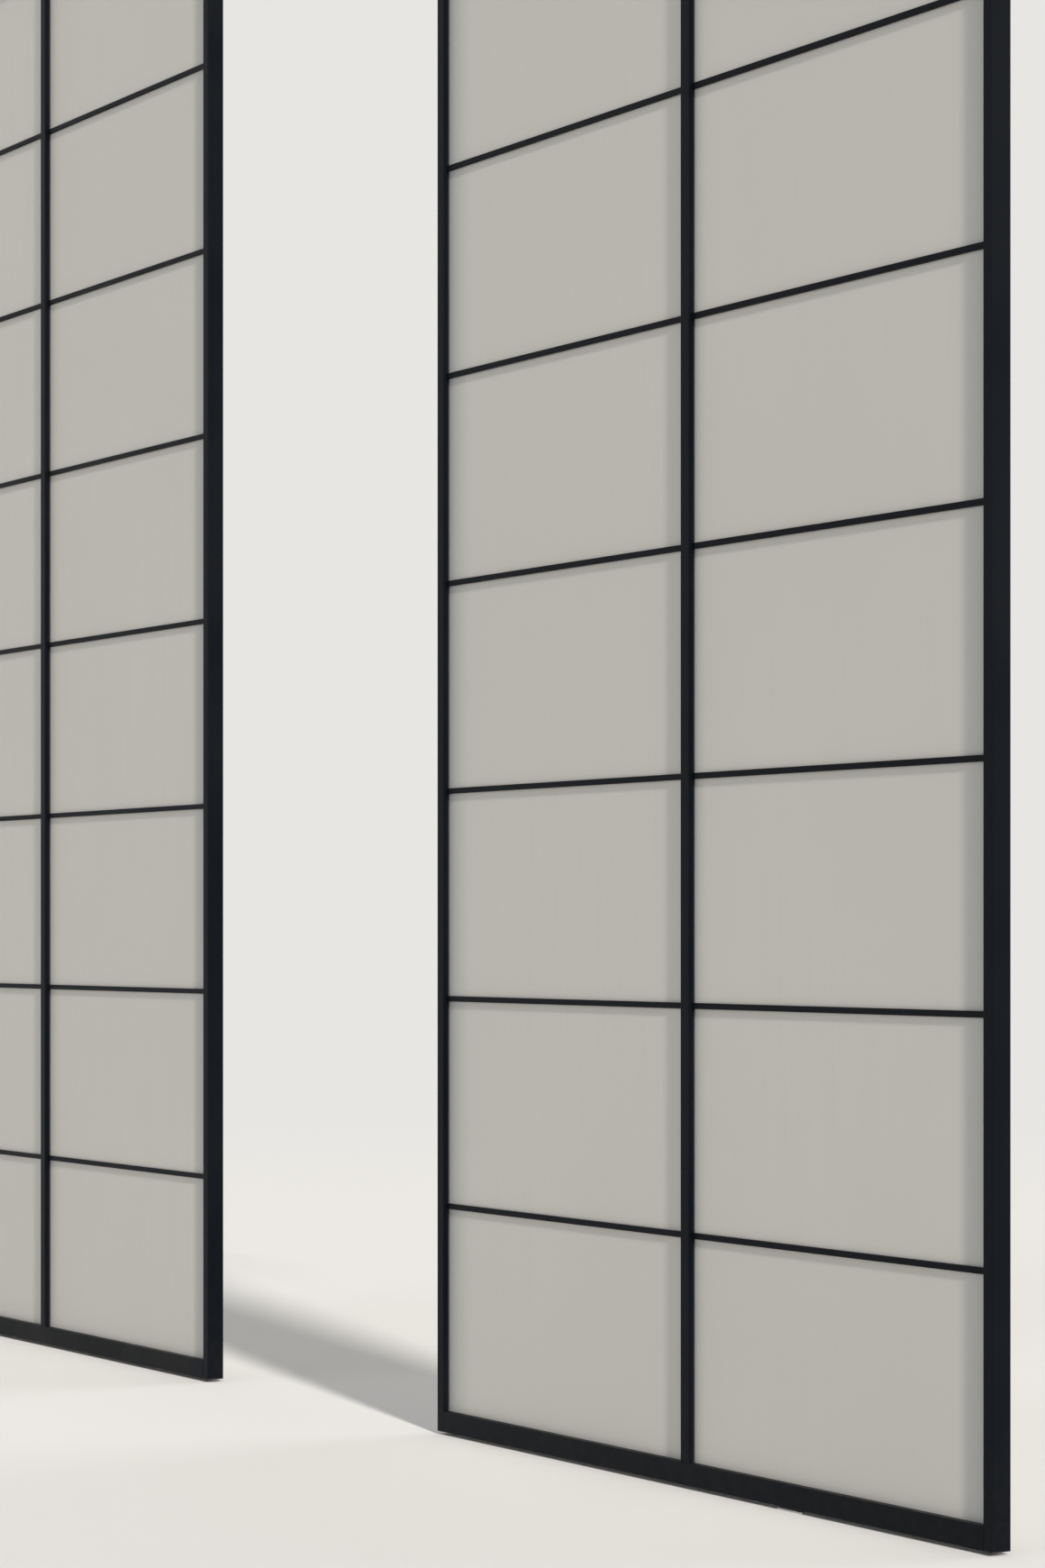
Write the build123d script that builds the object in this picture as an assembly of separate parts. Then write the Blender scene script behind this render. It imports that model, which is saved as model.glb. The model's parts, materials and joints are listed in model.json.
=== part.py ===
from build123d import *
import os

# A bi-parting pair of tall glazed sliding panels with shoji-like glazing bars, hung from one head track.
# Origin: floor level, under the middle of the opening, in the panels' mid-plane. X runs along the track,
# Y through the panels, Z up. All sizes are in millimetres.

# Grid of a panel, as seen from the front
column_clear_width = 794.0
cell_clear_height = 389.5
cell_rows = 8
muntin_height = 10.5
muntin_thickness = 6.0
muntin_edge_radius = 1.0
muntin_end_gap = 0.2
stile_width = 22.0
mullion_width = 24.0
rail_height = 40.0
panel_depth = 38.0
frame_edge_radius = 1.5
profile_wall = 2.0

# Panes and how they sit in the grooves
glass_thickness = 10.0
gasket_thickness = 3.0
frame_groove_depth = 11.0
mullion_groove_depth = 8.0
frame_edge_clearance = 3.0
mullion_edge_clearance = 2.0
setting_block_length = 80.0
setting_block_side_gap = 0.5
setting_block_inset = 120.0

# Where the panels hang at rest
rest_opening = 950.0
meeting_gap = 2.0
floor_clearance = 6.0
track_gap = 12.0

# Fits between pieces of one panel
slide_fit = 0.2
thread_fit = 0.1
axle_fit = 0.05

# Corner joints: an L-shaped bracket on the groove floors of stile and rail, in the clearance round the pane
bracket_width = 14.0
bracket_rise = 62.0
bracket_reach = 60.0
corner_screw_length = 9.0
stile_screw_heights = (50.0, 75.0)
rail_screw_offsets = (15.0, 35.0)

# Small screws
screw_radius = 2.0
screw_head_radius = 3.6
screw_head_height = 1.7
countersink_height = 1.6

# Stile end caps
cap_thickness = 2.0
cap_peg_length = 8.0
cap_peg_size = 6.0

# Mullion ends: a spigot on each rail enters the mullion's web
mullion_web_wall = 2.0
spigot_base_length = 50.0
spigot_height = 50.0
spigot_screw_offset = 16.0
spigot_screw_length = 12.0
mullion_screw_height = 25.0

# Groove in the bottom rail for the floor guide
guide_groove_width = 9.0
guide_groove_depth = 16.0

# Slot in the top rail for the hanger plates
hanger_slot_mouth = 12.0
hanger_slot_lip = 3.0
hanger_slot_width = 22.0
hanger_slot_height = 8.0
hanger_plate_length = 120.0
hanger_bolt_radius = 5.0
hanger_bolt_hole_gap = 0.25
hanger_bolt_head_width = 17.0
hanger_bolt_head_height = 6.4
lock_nut_width = 17.0
lock_nut_height = 6.0

# Head track
track_overhang = 44.0
track_width = 46.0
track_height = 42.0
track_side_wall = 3.0
track_top_wall = 3.5
track_lip_thickness = 4.0
track_slot_width = 14.0
bead_radius = 2.0
bead_offset = 12.5
ceiling_hole_radius = 3.3
ceiling_hole_pitch = 420.0
ceiling_hole_end_margin = 60.0

# Carriages
carriage_inset = 180.0
carriage_length = 100.0
carriage_height = 16.0
carriage_thickness = 13.0
carriage_axle_offset = 34.0
wheel_radius = 13.0
wheel_width = 8.0
wheel_running_gap = 0.3
wheel_shoulder_gap = 0.8
bearing_radius = 8.0
bearing_width = 5.0
axle_radius = 2.5
axle_head_radius = 4.0
axle_head_thickness = 1.5
axle_boss_radius = 4.0

# Track stops
stop_length = 30.0
stop_height = 24.0
stop_side_gap = 0.3
stop_screw_radius = 4.0
stop_screw_socket_radius = 2.3
stop_screw_socket_depth = 4.0
buffer_radius = 7.0
buffer_length = 10.0
buffer_stem_radius = 3.0
buffer_stem_length = 6.0
buffer_dome_radius = 3.0
buffer_gap = 0.3

# Floor guides
guide_plate_length = 70.0
guide_plate_width = 34.0
guide_plate_thickness = 3.0
guide_plate_corner = 4.0
guide_hole_offset = 28.0
guide_hole_radius = 2.75
guide_hole_sink_radius = 5.0
guide_hole_sink_depth = 2.0
fin_length = 44.0
fin_side_gap = 0.5
fin_top_gap = 2.0
fin_end_gap = 9.5
fin_screw_offset = 10.0
fin_screw_length = 12.0

# Sizes that follow from the ones above
groove_width = glass_thickness + 2 * gasket_thickness
muntin_pitch = cell_clear_height + muntin_height
clear_height = cell_rows * muntin_pitch - muntin_height
panel_width = 2 * column_clear_width + mullion_width + 2 * stile_width
panel_height = clear_height + 2 * rail_height
rail_length = panel_width - 2 * stile_width
stile_length = panel_height - 2 * cap_thickness
column_centre = (mullion_width + column_clear_width) / 2
frame_bite = frame_groove_depth - frame_edge_clearance
mullion_bite = mullion_groove_depth - mullion_edge_clearance
pane_width = column_clear_width + frame_bite + mullion_bite
pane_height = clear_height + 2 * frame_bite
pane_centre = column_centre + (frame_bite - mullion_bite) / 2
groove_floor = rail_height - frame_groove_depth
stile_groove_floor = stile_width - frame_groove_depth
bracket_thickness = frame_edge_clearance - slide_fit
spigot_base_thickness = frame_edge_clearance - slide_fit
hanger_plate_thickness = hanger_slot_height - 2 * slide_fit
tongue_length = frame_groove_depth - slide_fit
tongue_base = max(hanger_slot_lip, cap_thickness + slide_fit)
panel_centre = (rest_opening + panel_width) / 2
closing_travel = (rest_opening - meeting_gap) / 2
opening_travel = rail_length - fin_length - 2 * fin_end_gap - closing_travel
track_base = floor_clearance + panel_height + track_gap
bead_height = track_base + track_lip_thickness
groove_centre_radius = wheel_radius + wheel_shoulder_gap
axle_height = bead_height + groove_centre_radius
track_inner_width = track_width - 2 * track_side_wall
track_length = 2 * (panel_centre + panel_width / 2 + opening_travel + track_overhang)
ceiling_hole_count = 1 + int((track_length - 2 * ceiling_hole_end_margin) // ceiling_hole_pitch)
guide_centre = meeting_gap / 2 + panel_width - stile_width - fin_end_gap - fin_length / 2


def beam_x(section, length):
    """Extrude a section, drawn with Y across and Z up, equally both ways along X."""
    return extrude(Plane.YZ * section, amount=length / 2, both=True)


def rod(radius, start, end, axis=Axis.Z):
    """Round rod along an axis through the origin, from start to end."""
    plane = Plane(origin=axis.direction * start, z_dir=axis.direction)
    return extrude(plane * Circle(radius), amount=end - start)


def hexagon_prism(across_flats, height, bore_radius=0.0):
    """Hexagonal prism standing on Z = 0, with a bore where one is given."""
    section = RegularPolygon(across_flats / 2, 6, major_radius=False)
    if bore_radius:
        section -= Circle(bore_radius)
    return extrude(section, amount=height)


def pan_screw(length, gap=0.0):
    """Low-headed screw whose head stands on Z = 0. A gap makes it the tool for its hole."""
    shank = rod(screw_radius + gap, -length, 0)
    return shank if gap else shank + rod(screw_head_radius, 0, screw_head_height)


def countersunk_screw(length, gap=0.0):
    """Screw whose head ends flush at Z = 0. A gap makes it the tool for its hole."""
    head = Cone(screw_radius + gap, screw_head_radius + gap, countersink_height)
    return rod(screw_radius + gap, -length, 0) + Pos(0, 0, -countersink_height / 2) * head


def at_both_ends(shape):
    """A shape at the foot of the panel and its mirror image at the head."""
    return [shape, mirror(shape, about=Plane.XY.offset(panel_height / 2))]


def at_corners(shape):
    """A shape at the panel's lower left corner and its mirror images at the other three."""
    return [piece for end in at_both_ends(shape) for piece in (end, mirror(end, about=Plane.YZ))]


def group(shapes):
    """Separate like solids kept together."""
    return Compound([solid for shape in shapes for solid in shape.solids()])


# Screws of a corner and of a mullion end

def corner_screws(gap=0.0):
    """Screws at the lower left corner: through the bracket into the stile and into the rail."""
    screw = countersunk_screw(corner_screw_length, gap)
    left = -panel_width / 2
    leg_face = left + stile_groove_floor + bracket_thickness
    arm_face = groove_floor + bracket_thickness
    in_stile = [Pos(leg_face, 0, height) * Rot(0, 90, 0) * screw for height in stile_screw_heights]
    in_rail = [Pos(left + stile_width + offset, 0, arm_face) * screw for offset in rail_screw_offsets]
    return in_stile + in_rail


def all_corner_screws(gap=0.0):
    """The screws of all four corners."""
    return [piece for screw in corner_screws(gap) for piece in at_corners(screw)]


def mullion_end_screws(gap=0.0):
    """Two screws hold the spigot's base to the rail, one pins its tongue in the mullion's web."""
    base_screw = countersunk_screw(spigot_screw_length, gap)
    base_top = groove_floor + spigot_base_thickness
    screws = [Pos(side * spigot_screw_offset, 0, base_top) * base_screw for side in (-1, 1)]
    web_face = mullion_width / 2 - mullion_groove_depth
    pin = Pos(web_face, 0, rail_height + mullion_screw_height) * Rot(0, 90, 0) * pan_screw(2 * web_face, gap)
    return screws + [pin]


def all_mullion_screws(gap=0.0):
    """The screws of both ends of the mullion."""
    return [piece for screw in mullion_end_screws(gap) for piece in at_both_ends(screw)]


# Frame members of a panel, in the panel's own place: X = 0 in its middle, Z = 0 at its foot

def stile():
    """Left-hand stile: a hollow extrusion whose glass groove faces the panel's middle."""
    outline = Pos(stile_width / 2, 0) * RectangleRounded(stile_width, panel_depth, frame_edge_radius)
    groove = Pos(stile_width - frame_groove_depth / 2, 0) * Rectangle(frame_groove_depth, groove_width)
    inner_width = stile_width - 2 * profile_wall
    hollow = Pos(stile_width / 2, 0) * Rectangle(inner_width, panel_depth - 2 * profile_wall)
    lined = frame_groove_depth + profile_wall
    hollow -= Pos(stile_width - lined / 2, 0) * Rectangle(lined, groove_width + 2 * profile_wall)
    body = extrude(outline - groove - hollow, amount=stile_length)
    return Pos(-panel_width / 2, 0, cap_thickness) * body - all_corner_screws(thread_fit)


def stile_caps():
    """End caps of both stiles, each with two pegs in the hollows beside the groove."""
    plate = extrude(
        Pos(stile_width / 2, 0) * RectangleRounded(stile_width, panel_depth, frame_edge_radius),
        amount=cap_thickness,
    )
    lip_hollow = groove_width / 2 + profile_wall, panel_depth / 2 - profile_wall
    peg_y = sum(lip_hollow) / 2
    peg_depth = lip_hollow[1] - lip_hollow[0] - 2 * slide_fit
    peg_x = stile_width - frame_groove_depth / 2
    peg_z = cap_thickness + cap_peg_length / 2
    peg = Box(cap_peg_size, peg_depth, cap_peg_length)
    pegs = [Pos(peg_x, side * peg_y, peg_z) * peg for side in (-1, 1)]
    return group(at_corners(Pos(-panel_width / 2, 0, 0) * (plate + pegs)))


def rail_section(floor_slot, lined_slot):
    """Rail section standing on Z = 0 with the glass groove on top: the slot below is cut and lined."""
    centre = Pos(0, rail_height / 2)
    outline = centre * RectangleRounded(panel_depth, rail_height, frame_edge_radius)
    groove = Pos(0, rail_height - frame_groove_depth / 2) * Rectangle(groove_width, frame_groove_depth)
    hollow = centre * Rectangle(panel_depth - 2 * profile_wall, rail_height - 2 * profile_wall)
    lined = frame_groove_depth + profile_wall
    hollow -= Pos(0, rail_height - lined / 2) * Rectangle(groove_width + 2 * profile_wall, lined)
    return outline - groove - floor_slot - (hollow - lined_slot)


def coped_beam(section):
    """Rail between the stiles, whose middle runs on as a tongue into the groove of each stile."""
    height = rail_height - tongue_base
    middle = Pos(0, tongue_base + height / 2) * Rectangle(groove_width - 2 * slide_fit, height)
    return beam_x(section, rail_length) + beam_x(section & middle, rail_length + 2 * tongue_length)


def bottom_rail():
    """Rail with the floor guide's groove along its underside."""
    slot = Pos(0, guide_groove_depth / 2) * Rectangle(guide_groove_width, guide_groove_depth)
    lined_depth = guide_groove_depth + profile_wall
    lined = Pos(0, lined_depth / 2) * Rectangle(guide_groove_width + 2 * profile_wall, lined_depth)
    body = coped_beam(rail_section(slot, lined))
    return body - all_corner_screws(thread_fit) - all_mullion_screws(thread_fit)


def top_rail():
    """Rail with the hanger plates' slot along its top: the same section with another slot, turned over."""
    mouth = Pos(0, hanger_slot_lip / 2) * Rectangle(hanger_slot_mouth, hanger_slot_lip)
    slot_centre = Pos(0, hanger_slot_lip + hanger_slot_height / 2)
    slot = mouth + slot_centre * Rectangle(hanger_slot_width, hanger_slot_height)
    lined_depth = hanger_slot_lip + hanger_slot_height + profile_wall
    lined = Pos(0, lined_depth / 2) * Rectangle(hanger_slot_width + 2 * profile_wall, lined_depth)
    body = mirror(coped_beam(rail_section(slot, lined)), about=Plane.XY.offset(panel_height / 2))
    return body - all_corner_screws(thread_fit) - all_mullion_screws(thread_fit)


def mullion():
    """H-section between the rails, with a hollow web and hollow flanges."""
    outline = RectangleRounded(mullion_width, panel_depth, frame_edge_radius)
    groove_x = (mullion_width - mullion_groove_depth) / 2
    grooves = [Pos(side * groove_x, 0) * Rectangle(mullion_groove_depth, groove_width) for side in (-1, 1)]
    web_hollow = Rectangle(
        mullion_width - 2 * mullion_groove_depth - 2 * mullion_web_wall, groove_width - 2 * profile_wall
    )
    flange = (panel_depth - groove_width) / 2
    flange_hollow = Rectangle(mullion_width - 2 * profile_wall, flange - 2 * profile_wall)
    flange_y = (groove_width + flange) / 2
    hollows = [Pos(0, side * flange_y) * flange_hollow for side in (-1, 1)] + [web_hollow]
    body = Pos(0, 0, rail_height) * extrude(outline - grooves - hollows, amount=clear_height)
    return body - all_mullion_screws(thread_fit)


def corner_brackets():
    """Angle brackets: the leg lies on the stile's groove floor and the arm on the rail's."""
    leg = Pos(bracket_thickness / 2, bracket_rise / 2) * Rectangle(bracket_thickness, bracket_rise)
    arm = Pos(bracket_reach / 2, bracket_thickness / 2) * Rectangle(bracket_reach, bracket_thickness)
    bracket = extrude(Plane.XZ * (leg + arm), amount=bracket_width / 2, both=True)
    bracket = Pos(stile_groove_floor - panel_width / 2, 0, groove_floor) * bracket
    return group(at_corners(bracket - corner_screws(thread_fit)))


def mullion_spigots():
    """A base in the rail's groove, under the panes, and a tongue in the mullion's web."""
    base = Box(spigot_base_length, groove_width - 2 * slide_fit, spigot_base_thickness)
    web = mullion_width - 2 * mullion_groove_depth - 2 * mullion_web_wall - 2 * slide_fit
    tongue_height = frame_groove_depth + spigot_height - spigot_base_thickness
    tongue = Box(web, groove_width - 2 * profile_wall - 2 * slide_fit, tongue_height)
    base_top = groove_floor + spigot_base_thickness
    spigot = Pos(0, 0, base_top - spigot_base_thickness / 2) * base
    spigot += Pos(0, 0, base_top + tongue_height / 2) * tongue
    return group(at_both_ends(spigot - mullion_end_screws(thread_fit)))


# Glazing

def pane():
    """Translucent laminated pane, held on all four edges."""
    return Pos(0, 0, panel_height / 2) * Box(pane_width, glass_thickness, pane_height)


def glazing_gaskets():
    """Flat rings between pane and groove, two a pane, flush with the edge of the groove."""
    strip_y = (glass_thickness + gasket_thickness) / 2
    rings = []
    for column in (-1, 1):
        outer = Box(pane_width, gasket_thickness, pane_height)
        ring = Pos(column * pane_centre, 0, panel_height / 2) * outer
        opening = Box(column_clear_width, gasket_thickness, clear_height)
        ring -= Pos(column * column_centre, 0, panel_height / 2) * opening
        rings += [Pos(0, face * strip_y, 0) * ring for face in (-1, 1)]
    return group(rings)


def setting_blocks():
    """Blocks that carry each pane on the floor of the bottom rail's groove."""
    block = Box(setting_block_length, groove_width - 2 * setting_block_side_gap, frame_edge_clearance)
    spread = pane_width / 2 - setting_block_inset
    height = groove_floor + frame_edge_clearance / 2
    places = [column * pane_centre + side * spread for column in (-1, 1) for side in (-1, 1)]
    return group([Pos(x, 0, height) * block for x in places])


def muntins(face):
    """Glazing bars on one face of the panes: face is -1 for the front and 1 for the back."""
    section = Rectangle(muntin_thickness, muntin_height)
    proud = section.vertices().sort_by(Axis.X)[-2:]
    section = fillet(proud, muntin_edge_radius)
    bar = beam_x(section, column_clear_width - 2 * muntin_end_gap)
    if face < 0:
        bar = mirror(bar, about=Plane.XZ)
    bar_y = face * (glass_thickness + muntin_thickness) / 2
    first = rail_height + cell_clear_height + muntin_height / 2
    return group(
        [
            Pos(column * column_centre, bar_y, first + row * muntin_pitch) * bar
            for column in (-1, 1)
            for row in range(cell_rows - 1)
        ]
    )


# Hanging gear of a panel

carriage_places = [side * (panel_width / 2 - carriage_inset) for side in (-1, 1)]
axle_places = [place + side * carriage_axle_offset for place in carriage_places for side in (-1, 1)]
wheel_offsets = (-bead_offset, bead_offset)
axle_level = axle_height - floor_clearance


def hanger_plates():
    """Threaded plates in the top rail's slot."""
    plate = Box(hanger_plate_length, hanger_slot_width - 2 * slide_fit, hanger_plate_thickness)
    plate -= rod(hanger_bolt_radius + thread_fit, -hanger_plate_thickness, hanger_plate_thickness)
    height = panel_height - hanger_slot_lip - hanger_plate_thickness / 2
    return group([Pos(x, 0, height) * plate for x in carriage_places])


def hanger_bolts():
    """Bolts from each carriage down into its hanger plate."""
    foot = panel_height - hanger_slot_lip - hanger_plate_thickness
    neck = axle_level + carriage_height / 2
    head = Pos(0, 0, neck) * hexagon_prism(hanger_bolt_head_width, hanger_bolt_head_height)
    return group([Pos(x, 0, 0) * (rod(hanger_bolt_radius, foot, neck) + head) for x in carriage_places])


def lock_nuts():
    """Nuts that clamp each hanger plate against the lips of its slot."""
    nut = hexagon_prism(lock_nut_width, lock_nut_height, hanger_bolt_radius + thread_fit)
    return group([Pos(x, 0, panel_height) * nut for x in carriage_places])


def carriage_bodies():
    """Round-ended carriage bodies, with bosses that space the bearings."""
    outline = Plane.XZ * SlotOverall(carriage_length, carriage_height)
    body = extrude(outline, amount=carriage_thickness / 2, both=True)
    boss_reach = bead_offset - bearing_width / 2
    for side in (-1, 1):
        axle_x = Pos(side * carriage_axle_offset, 0, 0)
        body += axle_x * rod(axle_boss_radius, -boss_reach, boss_reach, Axis.Y)
        body -= axle_x * rod(axle_radius + axle_fit, -boss_reach, boss_reach, Axis.Y)
    body -= rod(hanger_bolt_radius + hanger_bolt_hole_gap, -carriage_height, carriage_height)
    return group([Pos(x, 0, axle_level) * body for x in carriage_places])


def carriage_axles():
    """Riveted axles through each carriage, headed outside the bearings."""
    head_start = bead_offset + bearing_width / 2
    axle = rod(axle_radius, -head_start, head_start, Axis.Y)
    for side in (-1, 1):
        ends = sorted((side * head_start, side * (head_start + axle_head_thickness)))
        axle += rod(axle_head_radius, *ends, Axis.Y)
    return group([Pos(x, 0, axle_level) * axle for x in axle_places])


def wheel_bearings():
    """Sealed ball bearings on the axles, one in each wheel."""
    ring = Circle(bearing_radius) - Circle(axle_radius + axle_fit)
    bearing = extrude(Plane.XZ * ring, amount=bearing_width / 2, both=True)
    return group([Pos(x, y, axle_level) * bearing for x in axle_places for y in wheel_offsets])


def wheel_pair(place):
    """The two grooved wheels on one axle; each rides on a bead of the track."""
    ring = Circle(wheel_radius) - Circle(bearing_radius + axle_fit)
    wheel = extrude(ring, amount=wheel_width / 2, both=True)
    wheel -= Torus(groove_centre_radius, bead_radius + wheel_running_gap)
    wheel = Rot(90, 0, 0) * wheel
    return group([Pos(place, y, axle_level) * wheel for y in wheel_offsets])


# Fixed pieces

def track_section():
    """Track section: a box open below, with a rounded bead along each lip."""
    outline = Pos(0, track_height / 2) * RectangleRounded(track_width, track_height, frame_edge_radius)
    inner_height = track_height - track_lip_thickness - track_top_wall
    hollow = Pos(0, track_lip_thickness + inner_height / 2) * Rectangle(track_inner_width, inner_height)
    slot = Pos(0, track_lip_thickness / 2) * Rectangle(track_slot_width, track_lip_thickness)
    beads = [Pos(side * bead_offset, track_lip_thickness) * Circle(bead_radius) for side in (-1, 1)]
    return outline - hollow - slot + beads


def head_track():
    """The track, with one row of ceiling holes along its top wall."""
    body = Pos(0, 0, track_base) * beam_x(track_section(), track_length)
    hole = Pos(0, 0, track_base) * rod(ceiling_hole_radius, track_height - 2 * track_top_wall, track_height)
    row = GridLocations(ceiling_hole_pitch, 1, ceiling_hole_count, 1)
    return body - [place * hole for place in row]


def stop_places():
    """Each stop's middle and the way its buffer points, at the ends of the carriages' travel."""
    half_carriage = carriage_length / 2
    inner = panel_centre - panel_width / 2 + carriage_inset - half_carriage - closing_travel
    outer = panel_centre + panel_width / 2 - carriage_inset + half_carriage + opening_travel
    reach = buffer_gap + buffer_length + stop_length / 2
    return [(side * (inner - reach), side) for side in (-1, 1)] + [
        (side * (outer + reach), -side) for side in (-1, 1)
    ]


def at_stops(shape, height):
    """A shape at every stop, turned the way its buffer points."""
    return group([Pos(x, 0, height) * Rot(0, 0, 90 - 90 * facing) * shape for x, facing in stop_places()])


def stop_blocks():
    """Blocks that sit over the beads, bored for the clamp screw and for the buffer's stem."""
    section = Pos(0, stop_height / 2) * Rectangle(track_inner_width - 2 * stop_side_gap, stop_height)
    section -= [Pos(side * bead_offset, 0) * Circle(bead_radius + stop_side_gap) for side in (-1, 1)]
    block = beam_x(section, stop_length) - rod(stop_screw_radius + thread_fit, 0, stop_height)
    stem_hole = rod(buffer_stem_radius, stop_length / 2 - buffer_stem_length, stop_length / 2, Axis.X)
    block -= Pos(0, 0, stop_height / 2) * stem_hole
    return at_stops(block, bead_height)


def stop_screws():
    """Socket screws turned from below: they jack against the track's top wall and press the block down."""
    top = track_height - track_lip_thickness - track_top_wall
    socket = RegularPolygon(stop_screw_socket_radius, 6)
    screw = rod(stop_screw_radius, 0, top) - extrude(socket, amount=stop_screw_socket_depth)
    return group([Pos(x, 0, bead_height) * screw for x, _ in stop_places()])


def stop_buffers():
    """Domed rubber buffers with a stem in the block."""
    face = stop_length / 2
    head = rod(buffer_radius, face, face + buffer_length, Axis.X)
    head = fillet(head.edges().sort_by(Axis.X)[-1], buffer_dome_radius)
    buffer = head + rod(buffer_stem_radius, face - buffer_stem_length, face, Axis.X)
    return at_stops(buffer, bead_height + stop_height / 2)


guide_places = (-guide_centre, guide_centre)


def fin_screws(gap=0.0):
    """Screws from under the base plate into the fin, their heads flush with its underside."""
    screw = Rot(180, 0, 0) * countersunk_screw(fin_screw_length, gap)
    return [Pos(side * fin_screw_offset, 0, 0) * screw for side in (-1, 1)]


def guide_plates():
    """Base plates with two countersunk holes for the floor."""
    outline = RectangleRounded(guide_plate_length, guide_plate_width, guide_plate_corner)
    plate = extrude(outline, amount=guide_plate_thickness)
    sink_centre = guide_plate_thickness - guide_hole_sink_depth / 2
    for side in (-1, 1):
        hole = rod(guide_hole_radius, 0, guide_plate_thickness)
        sink = Cone(guide_hole_radius, guide_hole_sink_radius, guide_hole_sink_depth)
        hole += Pos(0, 0, sink_centre) * sink
        plate -= Pos(side * guide_hole_offset, 0, 0) * hole
    return group([Pos(x, 0, 0) * (plate - fin_screws(thread_fit)) for x in guide_places])


def guide_fins():
    """Round-ended fins that stand in the bottom rails' grooves."""
    fin_top = floor_clearance + guide_groove_depth - fin_top_gap
    outline = SlotOverall(fin_length, guide_groove_width - 2 * fin_side_gap)
    fin = Pos(0, 0, guide_plate_thickness) * extrude(outline, amount=fin_top - guide_plate_thickness)
    return group([Pos(x, 0, 0) * (fin - fin_screws(thread_fit)) for x in guide_places])


def guide_screws():
    """The screws of both floor guides."""
    return group([Pos(x, 0, 0) * screw for x in guide_places for screw in fin_screws()])


def panel_pieces():
    """Every piece of one panel, by name, in the panel's own place."""
    left_stile = stile()
    right_stile = mirror(left_stile, about=Plane.YZ)
    pieces = {
        "left_stile": left_stile,
        "right_stile": right_stile,
        "top_rail": top_rail(),
        "bottom_rail": bottom_rail(),
        "mullion": mullion(),
        "left_pane": Pos(-pane_centre, 0, 0) * pane(),
        "right_pane": Pos(pane_centre, 0, 0) * pane(),
        "glazing_gaskets": glazing_gaskets(),
        "front_muntins": muntins(-1),
        "back_muntins": muntins(1),
        "stile_caps": stile_caps(),
        "corner_brackets": corner_brackets(),
        "corner_screws": group(all_corner_screws()),
        "setting_blocks": setting_blocks(),
        "mullion_spigots": mullion_spigots(),
        "mullion_screws": group(all_mullion_screws()),
        "hanger_plates": hanger_plates(),
        "hanger_bolts": hanger_bolts(),
        "lock_nuts": lock_nuts(),
        "carriage_bodies": carriage_bodies(),
        "carriage_axles": carriage_axles(),
        "wheel_bearings": wheel_bearings(),
    }
    for number, place in enumerate(axle_places, start=1):
        pieces[f"wheels_{number}"] = wheel_pair(place)
    return pieces


def fixed_pieces():
    """Every piece that is fixed to the building, by name."""
    return {
        "head_track": head_track(),
        "stop_blocks": stop_blocks(),
        "stop_screws": stop_screws(),
        "stop_buffers": stop_buffers(),
        "floor_guide_plates": guide_plates(),
        "floor_guide_fins": guide_fins(),
        "floor_guide_screws": guide_screws(),
    }


os.makedirs("parts", exist_ok=True)
for name, piece in fixed_pieces().items():
    export_step(piece, f"parts/{name}.step")
for name, piece in panel_pieces().items():
    for panel, side in (("left", -1), ("right", 1)):
        place = Pos(side * panel_centre, 0, floor_clearance)
        export_step(group([place * solid for solid in piece.solids()]), f"parts/{panel}_panel_{name}.step")
print("panel", panel_width, "x", panel_height, "travel", closing_travel, opening_travel)
print("track", track_base, track_base + track_height, "guides", guide_centre, "rolling radius",
      groove_centre_radius - bead_radius)
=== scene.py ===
"""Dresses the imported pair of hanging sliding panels: finishes, small hardware, studio and camera."""
import json
import logging
import math
from dataclasses import dataclass
from enum import Enum

import bpy
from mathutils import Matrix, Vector


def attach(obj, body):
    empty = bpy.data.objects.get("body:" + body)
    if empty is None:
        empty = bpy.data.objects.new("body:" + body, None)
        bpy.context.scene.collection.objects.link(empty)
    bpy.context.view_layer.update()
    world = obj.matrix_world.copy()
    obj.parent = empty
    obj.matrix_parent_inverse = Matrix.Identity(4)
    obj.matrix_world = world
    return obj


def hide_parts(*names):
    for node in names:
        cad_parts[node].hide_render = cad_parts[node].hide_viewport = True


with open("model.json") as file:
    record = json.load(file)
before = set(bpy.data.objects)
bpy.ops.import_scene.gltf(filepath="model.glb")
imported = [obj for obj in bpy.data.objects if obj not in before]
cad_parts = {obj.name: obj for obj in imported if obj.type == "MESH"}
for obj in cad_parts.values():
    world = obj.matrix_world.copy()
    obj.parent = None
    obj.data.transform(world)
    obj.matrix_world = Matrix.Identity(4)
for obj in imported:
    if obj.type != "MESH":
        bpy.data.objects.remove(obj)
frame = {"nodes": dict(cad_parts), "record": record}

logging.basicConfig(level=logging.INFO, format="%(message)s")
log = logging.getLogger("panels")

Colour = tuple[float, float, float]
Point = tuple[float, float, float]
FULL_TURN = 2 * math.pi
MERGE_DISTANCE = 1e-6

# Metres that the panes' finish and the small pieces share: a panel's middle from the opening's, a column's
# middle from its panel's, and the width of glass that shows in a column
PANEL_CENTRE = 1.303
COLUMN_CENTRE = 0.409
OPENING_WIDTH = 0.794


class Slot(Enum):
    """The record's material slots."""

    FRAME_BLACK = "frame_black"
    PAPER_GLASS = "paper_glass"
    GASKET_RUBBER = "gasket_rubber"
    BLACK_PLASTIC = "black_plastic"
    BARE_ALUMINIUM = "bare_aluminium"
    STEEL = "steel"
    WHITE_NYLON = "white_nylon"


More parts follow.
